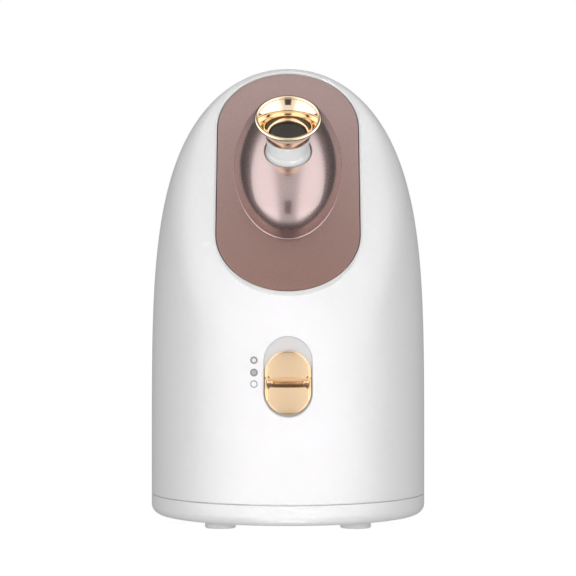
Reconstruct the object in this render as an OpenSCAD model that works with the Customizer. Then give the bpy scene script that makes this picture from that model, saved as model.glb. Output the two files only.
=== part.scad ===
// Facial steamer with a swivelling nozzle, a sliding mode switch and a lift-out water tank.
// Frame: +Z up, the front faces -Y, the origin is under the middle of the feet. Millimetres.

/* [Body] */
// Width of the body
body_w = 150; // [146:1:154]
// Depth of the body, front to back
body_d = 180; // [178:1:184]
// Height of the body with its feet
body_h = 248; // [246:1:252]
// Height of the seam between the shells and the base
seam_z = 15; // [14:0.5:16]
// Power that rounds the top of the body
dome_power = 4.5; // [4.2:0.1:4.8]
// Wall of the moulded shells
wall = 2.4; // [2:0.1:2.6]
// Height of the rubber feet
foot_h = 4; // [3:0.5:5]
// Radius of the rubber feet
foot_r = 8.2; // [6:0.1:9]

/* [Face panel] */
// Lean of the flat face, back from vertical
panel_tilt = 33; // [32.5:0.1:33.5]
// Half of the panel's width
panel_half_w = 38; // [37:0.1:39]
// Height of each rounded end of the panel
panel_end = 36; // [35:0.1:38]
// Length of the panel up the slope
panel_len = 141; // [138:1:143]
// Drop of the panel below its white border
panel_drop = 0.6; // [0.3:0.1:1]

/* [Nozzle] */
// Radius of the swivel ball
ball_r = 12.2; // [12.1:0.1:12.4]
// Radius of the bore through the ball
bore_r = 8; // [6:0.1:8.5]
// Radius of the rim of the cup
cup_r = 17.7; // [16:0.1:18.5]
// Height of the rim above the middle of the ball
cup_top = 26.3; // [26:0.1:27]

/* [Switch] */
// Width of the switch recess
well_w = 25.4; // [24:0.1:26]
// Height of the switch recess
well_h = 42; // [41:0.5:43]
// Width of the sliding button
button_w = 24.6; // [23.4:0.1:24.8]
// Height of the sliding button
button_h = 33.5; // [32:0.5:34]

/* [Tank] */
// Half of the tank's width
tank_half_w = 36.5; // [34:0.1:36.6]
// Height of the tank's bottom
tank_z = 54; // [52:0.5:56]
// Height of the tank's mouth
tank_top = 206; // [200:1:208]

/* [Hidden] */
$fn = 96;
gap = 0.3;
big = 400;
steps = 24;
front_y = -body_d / 2;

// A straight oval block with the body's plan, set in by a distance
module oval(inset, low, high) {
    scale([1, (body_d / 2 - inset) / (body_w / 2 - inset), 1])
        translate([0, 0, low]) cylinder(r = body_w / 2 - inset, h = high - low);
}

// Outline of the body of revolution, set in from the outside by a distance
function dome_outline(inset) = let (r = body_w / 2 - inset, h = body_h - inset - seam_z)
    [for (i = [0:steps]) let (s = sin(90 * i / steps))
        [r * sqrt(max(0, 1 - pow(s, dome_power))), seam_z + h * s]];

module body_solid(inset = 0) {
    scale([1, (body_d / 2 - inset) / (body_w / 2 - inset), 1])
        rotate_extrude() polygon(concat([[0, seam_z]], dome_outline(inset)));
}

// The flat face: local x across, y up the slope, z outward
face_y = -88.7;
face_z = 121;
panel_low = 7;
module on_panel() { translate([0, face_y, face_z]) rotate([90 - panel_tilt, 0, 0]) children(); }

module ahead_of_face(depth) { on_panel() translate([-big / 2, -big / 2, -depth]) cube(big); }

module panel_outline(grow) {
    mid_low = panel_low + panel_end;
    mid_high = panel_low + panel_len - panel_end;
    polygon([for (i = [0:48]) let (a = 360 * i / 48 + 0.001)
        [(panel_half_w + grow) * cos(a), (a < 180 ? mid_high : mid_low) + (panel_end + grow) * sin(a)]]);
}

module panel_slab(grow, low, high) {
    on_panel() translate([0, 0, low]) linear_extrude(high - low) panel_outline(grow);
}

// The nozzle axis: local z runs out of the ball, x across
ball_y = -57.9;
ball_z = 198.8;
nozzle_lean = 45;
module on_nozzle() { translate([0, ball_y, ball_z]) rotate([nozzle_lean, 0, 0]) children(); }

module tube(r_out, r_in, h) {
    difference() {
        cylinder(r = r_out, h = h);
        translate([0, 0, -1]) cylinder(r = r_in, h = h + 2);
    }
}

// A tube lying along y, drawn from its rear end forward
module along_y(p, length) { translate(p) rotate([90, 0, 0]) linear_extrude(length) children(); }

module obround(w, h) {
    translate([0, (h - w) / 2]) circle(w / 2);
    translate([0, -(h - w) / 2]) circle(w / 2);
    square([w, h - w], center = true);
}

// Shells
split_y = 6;
boss_x = 58;
boss_y = 22;
boss_low = 20.4;
boss_high = 34;
well_z = 82;

module shell_wall() {
    difference() {
        body_solid();
        body_solid_inner();
        ahead_of_face(0);
        translate([-big / 2, -big / 2, seam_z - 1]) cube([big, big, 1 + gap]);
    }
}

module body_solid_inner() {
    difference() {
        union() {
            body_solid(wall);
            oval(wall, seam_z - 1, seam_z + 0.5);
        }
        ahead_of_face(wall);
    }
}

module shell_boss(side, y) {
    difference() {
        intersection() {
            body_solid(0.8);
            union() {
                translate([side * boss_x, y, boss_low]) cylinder(r = 4.5, h = boss_high - boss_low);
                translate([side > 0 ? boss_x : -boss_x - 16, y - 1.2, boss_low])
                    cube([16, 2.4, boss_high - boss_low]);
            }
        }
        translate([side * boss_x, y, boss_low - 1]) cylinder(r = 1.4, h = 12);
    }
}

module front_shell() {
    color("white") {
        difference() {
            shell_wall();
            translate([-big / 2, split_y - 0.1, -1]) cube(big);
            panel_slab(0.25, -wall - 3, 1);
            along_y([0, -70, well_z], 40) obround(well_w, well_h);
        }
        for (side = [-1, 1]) shell_boss(side, -boss_y);
    }
}

bay_x = tank_half_w + 0.7;
bay_y = 13.4;
socket_z = 29;
socket_w = 23;
socket_h = 13.6;

module rear_shell() {
    color("white") {
        difference() {
            union() {
                intersection() {
                    shell_wall();
                    translate([-big / 2, split_y, -1]) cube(big);
                }
                shell_tongue();
            }
            translate([-bay_x, bay_y, tank_z - 0.4]) cube([2 * bay_x, big, big]);
            along_y([0, 120, socket_z], 60) square([socket_w + 0.4, socket_h + 0.4], center = true);
        }
        for (side = [-1, 1]) shell_boss(side, boss_y);
    }
}

// Tongue that centres the rear shell in the front one
module shell_tongue() {
    difference() {
        intersection() {
            body_solid(wall + 0.15);
            translate([-big / 2, split_y - 4, seam_z + 6]) cube([big, 4.01, big]);
        }
        body_solid(wall + 1.4);
    }
    difference() {
        intersection() {
            body_solid(wall - 0.1);
            translate([-big / 2, split_y, seam_z + 6]) cube([big, 5, big]);
        }
        body_solid(wall + 1.4);
    }
}

// Base
base_round = 5.5;
foot_x = 36;
foot_y = 50;
post_x = 44;
post_y = 40;
plate_z = 36;
plate_t = 2;

function base_outline(inset, low) = let (r = body_w / 2 - inset, c = base_round - inset / 2)
    concat([[0, low]], [for (i = [0:8]) [r - c + c * sin(i * 11.25), low + c - c * cos(i * 11.25)]],
        [[r, seam_z], [0, seam_z]]);

module base_form(inset, low) {
    scale([1, (body_d / 2 - inset) / (body_w / 2 - inset), 1])
        rotate_extrude() polygon(base_outline(inset, low));
}

module base_tray() {
    color("white") difference() {
        union() {
            difference() {
                base_form(0, foot_h);
                difference() {
                    base_form(wall, foot_h + 2.6);
                    for (side = [-1, 1], end = [-1, 1])
                        translate([side * foot_x, end * foot_y, 0]) cylinder(r = 6, h = seam_z + 3);
                }
                oval(wall, seam_z - 0.5, seam_z + 2);
            }
            for (side = [-1, 1], end = [-1, 1]) {
                translate([side * boss_x, end * boss_y, foot_h + 1])
                    cylinder(r = 5, h = boss_low - foot_h - 1.1);
                translate([side * post_x, end * post_y, foot_h + 1])
                    cylinder(r = 4, h = plate_z - foot_h - 1);
            }
            base_lip();
        }
        for (side = [-1, 1], end = [-1, 1]) {
            translate([side * boss_x, end * boss_y, 0]) cylinder(r = 1.8, h = 40);
            translate([side * boss_x, end * boss_y, 0]) cylinder(r = 3.6, h = 9);
            translate([side * foot_x, end * foot_y, 0]) cylinder(r = 4, h = foot_h + 3.5);
            translate([side * post_x, end * post_y, plate_z - 12]) cylinder(r = 1.2, h = 20);
        }
    }
}

// Lip inside the seam
module base_lip() {
    difference() {
        union() {
            oval(wall + 0.2, seam_z - 5, seam_z + 3);
            oval(wall - 0.4, seam_z - 5, seam_z - 0.4);
        }
        oval(wall + 1.7, seam_z - 6, seam_z + 4);
    }
}

module foot(side, end) {
    color("dimgray") translate([side * foot_x, end * foot_y, 0]) {
        rotate_extrude() polygon([[0, 0], [foot_r - 0.8, 0], [foot_r, 0.8], [foot_r, foot_h], [0, foot_h]]);
        translate([0, 0, foot_h - 0.1]) cylinder(r = 3.95, h = 3.4);
    }
}

module pan_screw(shank_r, shank, head_r, head_h) {
    cylinder(r = shank_r, h = shank);
    translate([0, 0, -head_h]) difference() {
        cylinder(r = head_r, h = head_h);
        for (a = [0, 90]) rotate(a) translate([-1.8, -0.4, -1]) cube([3.6, 0.8, 2]);
    }
}

module base_screws() {
    color("silver") for (side = [-1, 1], end = [-1, 1])
        translate([side * boss_x, end * boss_y, 9]) pan_screw(1.4, 18, 3.2, 2);
}

// Face
dome_y = -32.1;
dome_z = 191.2;
dome_r = 30.1;
dome_half = 51;
dome_wall = 2;
groove_r = 15.6;
groove_top = -1.5;
ring_low = -4.6;
panel_hole_y = 78.5;

// An egg of revolution whose long axis lies across the nozzle axis
module egg(shrink) {
    translate([0, dome_y, dome_z]) rotate([nozzle_lean - 90, 0, 0]) rotate_extrude()
        polygon([for (i = [-12:12]) [(dome_r - shrink) * cos(7.5 * i), (dome_half - shrink) * sin(7.5 * i)]]);
}

module front_panel() {
    color("rosybrown") difference() {
        union() {
            panel_slab(-0.1, -wall - 0.4, -panel_drop);
            intersection() {
                panel_slab(2.2, -wall - 1.8, -wall - 0.2);
                body_solid(wall + 0.3);
            }
        }
        on_panel() translate([0, panel_hole_y, -20]) cylinder(r = 14, h = 40);
    }
}

module nozzle_dome() {
    color("rosybrown") difference() {
        union() {
            difference() {
                egg(0);
                egg(dome_wall);
            }
            intersection() {
                egg(0.5);
                on_nozzle() translate([0, 0, -9]) cylinder(r = groove_r + 1.8, h = 30);
            }
        }
        on_panel() translate([-big / 2, -big / 2, -big - panel_drop + 0.02]) cube(big);
        on_nozzle() {
            sphere(ball_r + gap);
            cylinder(r = ball_r - 0.2, h = 40);
            translate([0, 0, -30]) cylinder(r = groove_r, h = 30 + groove_top);
        }
    }
}

module ball_retainer() {
    color("dimgray") on_nozzle() difference() {
        translate([0, 0, -11.4]) cylinder(r = groove_r, h = 11.4 + ring_low);
        sphere(ball_r + gap);
        translate([0, 0, -12]) cylinder(r = 13, h = 2.5);
    }
}

module ball_wiper() {
    color("dimgray") on_nozzle() difference() {
        translate([0, 0, ring_low + 0.1]) cylinder(r = groove_r - 0.2, h = groove_top - ring_low - 0.2);
        sphere(ball_r + 0.1);
    }
}

neck_r = 11.2;
neck_top = 14;
socket_r = 10.9;
ball_low = -8;
cup_floor = 12;
throat_r = 10.1;

module nozzle_ball() {
    color("whitesmoke") on_nozzle() difference() {
        union() {
            sphere(ball_r);
            cylinder(r = neck_r, h = neck_top);
        }
        translate([-big / 2, -big / 2, ball_low - big]) cube(big);
        translate([0, 0, -20]) cylinder(r = bore_r, h = 40);
        translate([0, 0, cup_floor - 1]) cylinder(r = socket_r, h = 10);
    }
}

cup_base_r = 12;
cup_wall = 0.8;
rim_r = 1.1;
// Flare of the cup: radius at a height above the neck
function cup_flare(s) = cup_base_r + (cup_r - cup_base_r) * (0.35 * s + 0.65 * pow(s, 2.6));

module nozzle_cup() {
    rise = cup_top - rim_r - neck_top;
    outer = [for (i = [0:12]) [cup_flare(i / 12), neck_top + rise * i / 12]];
    rim = [for (a = [30:30:150]) [cup_r - rim_r * (1 - cos(a)), cup_top - rim_r * (1 - sin(a))]];
    inner = [for (i = [10:-1:2]) [cup_flare(i / 12) - cup_wall, neck_top + rise * i / 12]];
    color("gold") on_nozzle() rotate_extrude()
        polygon(concat([[bore_r, cup_floor - 1], [socket_r, cup_floor - 1], [socket_r, neck_top]], outer, rim,
            inner, [[throat_r, cup_floor + 2], [throat_r, cup_floor], [bore_r, cup_floor]]));
}

module outlet_insert() {
    color("black") on_nozzle() difference() {
        union() {
            translate([0, 0, cup_floor]) cylinder(r = throat_r - 0.1, h = 1);
            translate([0, 0, cup_floor - 6]) cylinder(r = bore_r - 0.1, h = 6.5);
        }
        translate([0, 0, cup_floor - 7]) cylinder(r = bore_r - 1.6, h = 6.8);
        for (a = [0:60:300]) rotate(a) translate([4.2, 0, cup_floor - 1]) cylinder(r = 1.3, h = 4);
        translate([0, 0, cup_floor - 1]) cylinder(r = 1.6, h = 4);
    }
}

// Mode switch
floor_y = front_y + 4.4;
button_low = 62.1;
switch_travel = 7;
slot_w = 5;
module switch_well() {
    color("lightgray") difference() {
        along_y([0, floor_y + 1.6, well_z], 1.6) obround(well_w + 4, well_h + 4);
        along_y([0, floor_y + 5, stem_z + switch_travel / 2], 10)
            square([slot_w, 6.4 + switch_travel], center = true);
    }
}

stem_z = 78;
module switch_button() {
    middle = button_low + button_h / 2;
    color("wheat") {
        difference() {
            intersection() {
                body_solid(0.7);
                along_y([0, floor_y - 0.4, middle], 20) obround(button_w, button_h);
            }
            for (end = [-1, 1]) translate([0, front_y - 28.6, middle + end * 8.6]) sphere(30);
        }
        translate([-2.2, floor_y - 0.5, stem_z - 3]) cube([4.4, 4.5, 6]);
    }
}

module switch_carriage() {
    color("black") {
        translate([-8, floor_y + 2, stem_z - 6]) difference() {
            cube([16, 3.4, 12]);
            translate([5.8, -1, 3]) cube([4.4, 3, 6]);
        }
        translate([-1.6, floor_y + 5.3, stem_z - 1.2]) cube([3.2, 3, 2.4]);
    }
}

module slide_switch() {
    color("darkgray") translate([0, floor_y + 6, stem_z]) difference() {
        translate([-6, 0, -11]) cube([12, 6, 26]);
        translate([-2, -1, -1.6]) cube([4, 4, 3.2 + switch_travel]);
    }
}

module switch_board() {
    color("seagreen") difference() {
        translate([-14, floor_y + 12, 56]) cube([28, 1.6, 52]);
        for (z = [59, 105]) along_y([10, floor_y + 20, z], 20) circle(1.5);
    }
}

// Tank
tank_y = 14;
tank_wall = 2.2;
valve_y = 45;
lid_z = tank_top + 0.9;

module tank_form(inset, low, high) {
    intersection() {
        body_solid(inset);
        translate([-tank_half_w + inset, tank_y + inset, low])
            cube([2 * (tank_half_w - inset), 100, high - low]);
    }
}

hinge_y = 71.6;
hinge_z = tank_top + 1;
barrel_r = 2.2;
module water_tank() {
    color("lightblue") {
        difference() {
            tank_form(0, tank_z, tank_top);
            tank_form(tank_wall, tank_z + 2.6, tank_top + 5);
            translate([0, valve_y, tank_z - 1]) cylinder(r = 9, h = 6);
        }
        for (side = [-1, 1]) difference() {
            translate([side * 7 - 1.5, hinge_y, hinge_z]) {
                rotate([0, 90, 0]) cylinder(r = barrel_r, h = 3);
                translate([0, -barrel_r, -6]) cube([3, 2 * barrel_r, 6]);
                translate([0, -6, -6]) cube([3, 6, 5]);
            }
            translate([side * 7 - 2, hinge_y, hinge_z]) rotate([0, 90, 0]) cylinder(r = 1.2, h = 4);
            tank_form(tank_wall, tank_z, tank_top + 9);
        }
    }
}

// The lid's skirt stops here, in front of where the mouth narrows towards the hinge
skirt_end = 50;

module tank_lid() {
    color("white") difference() {
        union() {
            difference() {
                tank_form(0, lid_z, body_h + 5);
                tank_form(tank_wall, lid_z - 1, body_h + 5);
            }
            difference() {
                tank_form(tank_wall + 0.3, tank_top - 4, lid_z + 3);
                tank_form(tank_wall + 1.6, tank_top - 5, lid_z + 4);
                translate([-big / 2, skirt_end, tank_top - 5]) cube([big, big, lid_z - tank_top + 5]);
            }
            difference() {
                tank_form(tank_wall - 0.4, lid_z, lid_z + 2);
                tank_form(tank_wall + 1.6, lid_z - 1, lid_z + 3);
            }
            translate([-5.2, hinge_y - 7, hinge_z - 0.1]) cube([10.4, 7, barrel_r + 0.1]);
            translate([-5.2, hinge_y, hinge_z]) rotate([0, 90, 0]) cylinder(r = barrel_r, h = 10.4);
        }
        translate([-6, hinge_y, hinge_z]) rotate([0, 90, 0]) cylinder(r = 1.24, h = 12);
        for (side = [-1, 1]) translate([side * 7.2 - 1.9, hinge_y - 2.9, tank_top - 5])
            cube([3.8, 9, 9.6]);
    }
}

module lid_hinge_pin() {
    color("silver") translate([-8.5, hinge_y, hinge_z]) rotate([0, 90, 0]) cylinder(r = 1.2, h = 17);
}

module lid_gasket() {
    color("gray") difference() {
        tank_form(0.5, tank_top + 0.15, lid_z);
        tank_form(tank_wall + 0.1, tank_top - 1, lid_z + 1);
        translate([-9.1, hinge_y - 6.4, tank_top - 5]) cube([18.2, 9, 9.6]);
    }
}

module valve_cap() {
    color("white") translate([0, valve_y, 0]) difference() {
        union() {
            translate([0, 0, tank_z - 2.2]) cylinder(r = 12, h = 2.2);
            translate([0, 0, tank_z - 0.1]) cylinder(r = 8.9, h = 8.1);
        }
        translate([0, 0, tank_z - 3]) cylinder(r = 4.5, h = 5);
        translate([0, 0, tank_z + 0.6]) cylinder(r = 7.4, h = 6);
        translate([0, 0, tank_z]) cylinder(r = 1.8, h = 10);
        for (a = [0:60:300]) rotate(a) translate([5.2, 0, tank_z]) cylinder(r = 1.5, h = 10);
    }
}

module valve_seal() {
    color("orangered") translate([0, valve_y, tank_z + 0.6]) tube(7.3, 4.6, 1.2);
}

module valve_plunger() {
    color("white") translate([0, valve_y, tank_z]) {
        translate([0, 0, 1.9]) cylinder(r = 6.2, h = 1.2);
        translate([0, 0, -3.2]) cylinder(r = 2.4, h = 5.3);
        translate([0, 0, 3]) cylinder(r = 1.4, h = 9);
    }
}

// A wound wire: rings of points along a helix
function wire_ring(turns, r, h, wire, s, sides) = let (a = 360 * turns * s)
    [for (j = [0:sides - 1]) let (b = 360 * j / sides)
        [(r + wire * cos(b)) * cos(a), (r + wire * cos(b)) * sin(a), h * s + wire * sin(b)]];

module coil(turns, r, h, wire) {
    rings = turns * 16;
    sides = 6;
    points = [for (i = [0:rings]) each wire_ring(turns, r, h, wire, i / rings, sides)];
    walls = [for (i = [0:rings - 1], j = [0:sides - 1])
        let (k = (j + 1) % sides) [i * sides + j, (i + 1) * sides + j, (i + 1) * sides + k, i * sides + k]];
    ends = [[for (j = [0:sides - 1]) j], [for (j = [sides - 1:-1:0]) rings * sides + j]];
    polyhedron(points, concat(walls, ends), convexity = 10);
}

module valve_spring() {
    color("silver") translate([0, valve_y, tank_z + 3.5]) coil(2.5, 2.8, 2.7, 0.35);
}

module tank_cradle() {
    side_t = 1.8;
    color("whitesmoke") difference() {
        union() {
            intersection() {
                body_solid(wall + 2);
                difference() {
                    translate([-bay_x - side_t, bay_y - 2, 44.5]) cube([2 * (bay_x + side_t), 80, 155]);
                    translate([-bay_x, bay_y, 47]) cube([2 * bay_x, 90, 160]);
                }
            }
            translate([0, valve_y, 46]) cylinder(r = 2, h = tank_z - 3.5 - 46);
            for (side = [-1, 1]) translate([side * 24 - 3, bay_y + 4, 46])
                cube([6, 40, tank_z - 46 - 0.1]);
        }
        for (a = [45:90:315]) translate([0, valve_y, 40]) rotate(a) translate([4.6, 0, 0])
            cylinder(r = 1.4, h = 12);
    }
}

// Water, steam and mist path
boiler_z = 48;
boiler_top = 84;
boiler_r = 25;
feed_z = 41.3;
feed_r = 2.4;
feed_x = -40;
feed_y = 3;
module bend(p, r) { translate(p) sphere(r); }

// Steam duct: out of the ball along the nozzle axis, round an elbow, straight down to the boiler
duct_out = 10.4;
duct_in = 8.4;
duct_start = -11.5;
steam_y = -36;
elbow_run = (steam_y - ball_y) / sin(nozzle_lean);
elbow_z = ball_z - elbow_run * cos(nozzle_lean);

module feed_tube() {
    color("lightgray") {
        translate([0, valve_y, feed_z]) cylinder(r = 7.5, h = 44.5 - feed_z);
        along_y([0, valve_y, feed_z], valve_y - feed_y) circle(feed_r);
        bend([0, feed_y, feed_z], feed_r);
        translate([0, feed_y, feed_z]) cylinder(r = feed_r, h = 16);
        bend([0, feed_y, feed_z + 16], feed_r);
        along_y([0, feed_y, feed_z + 16], feed_y - steam_y - boiler_r) circle(feed_r);
        translate([0, feed_y, feed_z]) rotate([0, -90, 0]) cylinder(r = feed_r, h = -feed_x);
        bend([feed_x, feed_y, feed_z], feed_r);
        along_y([feed_x, feed_y, feed_z], 10.3) circle(feed_r);
    }
}

module boiler_body() {
    color("silver") translate([0, steam_y, 0]) difference() {
        union() {
            translate([0, 0, boiler_z]) cylinder(r = boiler_r, h = boiler_top - boiler_z);
            translate([0, 0, boiler_top - 2]) cylinder(r = boiler_r + 2.5, h = 2);
        }
        translate([0, 0, boiler_z + 3]) cylinder(r = boiler_r - 2, h = 60);
    }
}

module boiler_gasket() {
    color("orangered") translate([0, steam_y, boiler_top]) tube(boiler_r + 2.4, boiler_r - 2, 1.2);
}

module boiler_lid() {
    color("dimgray") translate([0, steam_y, boiler_top + 1.2]) difference() {
        union() {
            cylinder(r = boiler_r + 2.5, h = 2.4);
            translate([0, 0, 2]) cylinder(r = 7.9, h = 10);
        }
        translate([0, 0, -1]) cylinder(r = 6.2, h = 20);
    }
}

module ptc_heater() { color("tan") translate([0, steam_y, boiler_z - 4]) cylinder(r = 21, h = 4); }

module thermostat() {
    color("black") translate([20, steam_y, 66]) rotate([0, 90, 0]) {
        translate([0, 0, 5]) cylinder(r = 6, h = 5);
        translate([0, 0, 10]) cylinder(r = 3, h = 3);
    }
}

module thermal_fuse() {
    color("white") translate([-27.1, steam_y + 7, 58]) rotate([90, 0, 0]) cylinder(r = 1.9, h = 14);
}

module chassis_plate() {
    color("lightgray") difference() {
        translate([0, 0, plate_z]) intersection() {
            cylinder(r = 78, h = plate_t);
            translate([-55, -66, 0]) cube([110, 130, plate_t]);
        }
        for (side = [-1, 1], end = [-1, 1]) translate([side * post_x, end * post_y, 0])
            cylinder(r = 1.6, h = 60);
        translate([-14, 52, 0]) cube([28, 30, 60]);
        translate([lead_x - 2, 6, 0]) cube([8, 8, 60]);
    }
}

module chassis_screws() {
    color("silver") for (side = [-1, 1], end = [-1, 1])
        translate([side * post_x, end * post_y, plate_z + plate_t]) mirror([0, 0, 1])
            pan_screw(1.2, 10, 2.8, 1.8);
}

duct_low = boiler_top + 3.7;

mist_x = -44;
mist_y = -22;
mist_z = 130;
mist_run = norm([mist_x, mist_y - steam_y]);

// The corner of the mist duct, with -y towards the steam duct
module to_mist() {
    translate([mist_x, mist_y, mist_z]) rotate([0, 0, atan2(-mist_x, mist_y - steam_y)]) children();
}

// The duct's path as a solid rod; extra lengthens both of its ends
module duct_form(r, extra) {
    translate([0, steam_y, elbow_z])
        mitred_rods(r, nozzle_lean, elbow_run + duct_start + extra, elbow_z - duct_low + extra);
}

// Two rods that meet on a mitre: one hangs straight down, the other leans towards the front
module mitred_rods(r, lean, run, drop) {
    difference() {
        rotate([lean, 0, 0]) translate([0, 0, -2 * r]) cylinder(r = r, h = run + 2 * r);
        rotate([lean / 2, 0, 0]) translate([-big / 2, -big / 2, -big]) cube(big);
    }
    difference() {
        translate([0, 0, -drop]) cylinder(r = r, h = drop + 2 * r);
        rotate([lean / 2, 0, 0]) translate([-big / 2, -big / 2, 0]) cube(big);
    }
}

module steam_duct() {
    color("lightgray") difference() {
        union() {
            duct_form(duct_out, 0);
            on_nozzle() translate([0, 0, duct_start - 1.6]) cylinder(r = 12.8, h = 1.6);
        }
        duct_form(duct_in, 3);
        to_mist() rotate([90, 0, 0]) cylinder(r = 5, h = mist_run);
    }
}

module mist_chamber() {
    color("lightgray") difference() {
        translate([mist_x, mist_y, plate_z + plate_t]) cylinder(r = 15, h = 38);
        translate([mist_x, mist_y, plate_z + plate_t + 8]) cylinder(r = 13.2, h = 28);
        translate([mist_x, mist_y, plate_z + plate_t + 2]) cylinder(r = 11.2, h = 10);
        translate([mist_x, mist_y, 70]) cylinder(r = 5, h = 12);
        along_y([feed_x, 3, feed_z], 14) circle(feed_r + 0.1);
        along_y([-46, 3, 60], 20) circle(5);
    }
}

module ultrasonic_disc() {
    color("silver") translate([mist_x, mist_y, plate_z + plate_t + 5.5]) cylinder(r = 10, h = 1.3);
}

module disc_seal() {
    color("orangered") translate([mist_x, mist_y, plate_z + plate_t + 4.4]) difference() {
        cylinder(r = 11.1, h = 3.4);
        translate([0, 0, 1.1]) cylinder(r = 10, h = 1.3);
        translate([0, 0, -1]) cylinder(r = 8.6, h = 6);
    }
}

module mist_duct() {
    drop = mist_z - plate_z - plate_t - 38;
    color("lightgray") difference() {
        to_mist() mitred_rods(6.6, 90, mist_run - duct_out + 1, drop);
        to_mist() mitred_rods(5, 90, mist_run, drop + 1);
        translate([0, steam_y, mist_z - 20]) cylinder(r = duct_out + 0.05, h = 40);
    }
}

fan_x = -46;
fan_z = 60;
fan_size = 28;
module fan_housing() {
    color("black") difference() {
        translate([fan_x - fan_size / 2, -4, fan_z - fan_size / 2]) cube([fan_size, 8, fan_size]);
        difference() {
            along_y([fan_x, 9, fan_z], 18) circle(12.5);
            along_y([fan_x, 4, fan_z], 2) circle(5);
            for (a = [0:120:240]) translate([fan_x, 4, fan_z]) rotate([90, a, 0]) translate([0, -1, 0])
                cube([13, 2, 1.4]);
        }
    }
}

module fan_rotor() {
    color("gray") {
        along_y([fan_x, 1.5, fan_z], 5) circle(5);
        for (a = [0:51.43:359]) translate([fan_x, -1, fan_z]) rotate([0, a, 0])
            rotate([35, 0, 0]) translate([-0.001, -2.2, -0.5]) cube([11.6, 4.4, 1]);
    }
}

board_x = 50;
module power_board() {
    color("seagreen") difference() {
        translate([board_x, -50, plate_z + plate_t]) cube([1.6, 56, 70]);
        for (y = [-45, 1]) translate([board_x - 5, y, 100]) rotate([0, 90, 0])
            cylinder(r = 1.6, h = 20);
    }
}

module transformer() {
    color("gold") translate([board_x - 16, -22, 50]) {
        cube([16, 20, 16]);
        translate([1.5, -3, 3]) cube([13, 26, 10]);
    }
}

module capacitors() {
    color("darkblue") for (y = [-42, -30]) translate([board_x - 18, y, 88]) rotate([0, 90, 0])
        cylinder(r = 5, h = 18);
}

socket_back = 66;
socket_face = 88.2;
pin_pitch = 8.6;
pin_r = 1.18;
module inlet_socket() {
    color("black") difference() {
        along_y([0, socket_face, socket_z], socket_face - socket_back)
            square([socket_w, socket_h], center = true);
        along_y([0, socket_face + 1, socket_z], 14) rotate(90) obround(9.4, 17);
        for (side = [-1, 1]) along_y([side * pin_pitch / 2, socket_face, socket_z], 40) circle(pin_r);
    }
}

module inlet_pins() {
    color("silver") for (side = [-1, 1])
        along_y([side * pin_pitch / 2, socket_face - 3.5, socket_z], socket_face - 0.5 - socket_back)
            circle(pin_r);
}

lead_x = 53.5;
module mains_leads() {
    color("black") for (side = [-1, 1]) {
        x = side * pin_pitch / 2;
        y = 10 - 2 * side;
        z = 62 + 3 * side;
        along_y([x, socket_back - 3, socket_z], socket_back - 3 - y) circle(1);
        bend([x, y, socket_z], 1);
        translate([x, y, socket_z]) rotate([0, 90, 0]) cylinder(r = 1, h = lead_x - x);
        bend([lead_x, y, socket_z], 1);
        translate([lead_x, y, socket_z]) cylinder(r = 1, h = z - socket_z);
        bend([lead_x, y, z], 1);
        along_y([lead_x, y, z], y + 2) circle(1);
        bend([lead_x, -2, z], 1);
        translate([lead_x, -2, z]) rotate([0, -90, 0]) cylinder(r = 1, h = lead_x - board_x - 1.6);
    }
}

module heater_leads() {
    color("red") for (side = [-1, 1])
        translate([20.6, steam_y + 5 * side, boiler_z - 2]) rotate([0, 90, 0])
            cylinder(r = 0.9, h = board_x - 20.6);
}

front_shell();
rear_shell();
base_tray();
foot(-1, -1);  // foot_front_left
foot(1, -1);  // foot_front_right
foot(-1, 1);  // foot_rear_left
foot(1, 1);  // foot_rear_right
base_screws();
front_panel();
nozzle_dome();
ball_retainer();
ball_wiper();
nozzle_ball();
nozzle_cup();
outlet_insert();
switch_well();
switch_button();
switch_carriage();
slide_switch();
switch_board();
water_tank();
tank_lid();
lid_gasket();
lid_hinge_pin();
valve_cap();
valve_seal();
valve_plunger();
valve_spring();
tank_cradle();
feed_tube();
boiler_body();
boiler_lid();
boiler_gasket();
ptc_heater();
thermostat();
thermal_fuse();
chassis_plate();
chassis_screws();
steam_duct();
mist_chamber();
ultrasonic_disc();
disc_seal();
mist_duct();
fan_housing();
fan_rotor();
power_board();
transformer();
capacitors();
inlet_socket();
inlet_pins();
mains_leads();
heater_leads();
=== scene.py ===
import math

import bmesh
import bpy
import numpy as np
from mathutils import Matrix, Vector


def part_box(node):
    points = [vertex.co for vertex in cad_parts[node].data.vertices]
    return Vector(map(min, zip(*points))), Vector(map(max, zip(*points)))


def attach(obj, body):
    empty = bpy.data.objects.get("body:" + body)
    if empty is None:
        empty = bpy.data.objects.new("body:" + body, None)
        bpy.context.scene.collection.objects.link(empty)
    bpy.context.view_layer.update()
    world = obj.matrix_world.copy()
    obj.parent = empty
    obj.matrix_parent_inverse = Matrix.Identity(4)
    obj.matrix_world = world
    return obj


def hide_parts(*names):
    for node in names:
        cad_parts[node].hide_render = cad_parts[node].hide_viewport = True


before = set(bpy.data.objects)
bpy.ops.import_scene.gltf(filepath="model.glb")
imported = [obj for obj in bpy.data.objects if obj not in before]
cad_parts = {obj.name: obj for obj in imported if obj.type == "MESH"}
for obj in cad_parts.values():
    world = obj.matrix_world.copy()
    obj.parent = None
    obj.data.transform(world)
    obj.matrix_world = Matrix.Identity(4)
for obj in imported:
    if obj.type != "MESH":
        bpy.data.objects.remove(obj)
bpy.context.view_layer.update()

MM = 0.001

# ---------------------------------------------------------------- driving sizes, millimetres
# Body
HALF_W = 75.0
HALF_D = 90.0
TOP_Z = 248.0
SEAM_Z = 15.0
DOME_POWER = 4.5
WALL = 2.4
SPLIT_Y = 6.0
SPLIT_GAP = 0.2
SEAM_GAP = 0.3
FOOT_H = 4.0

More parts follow.
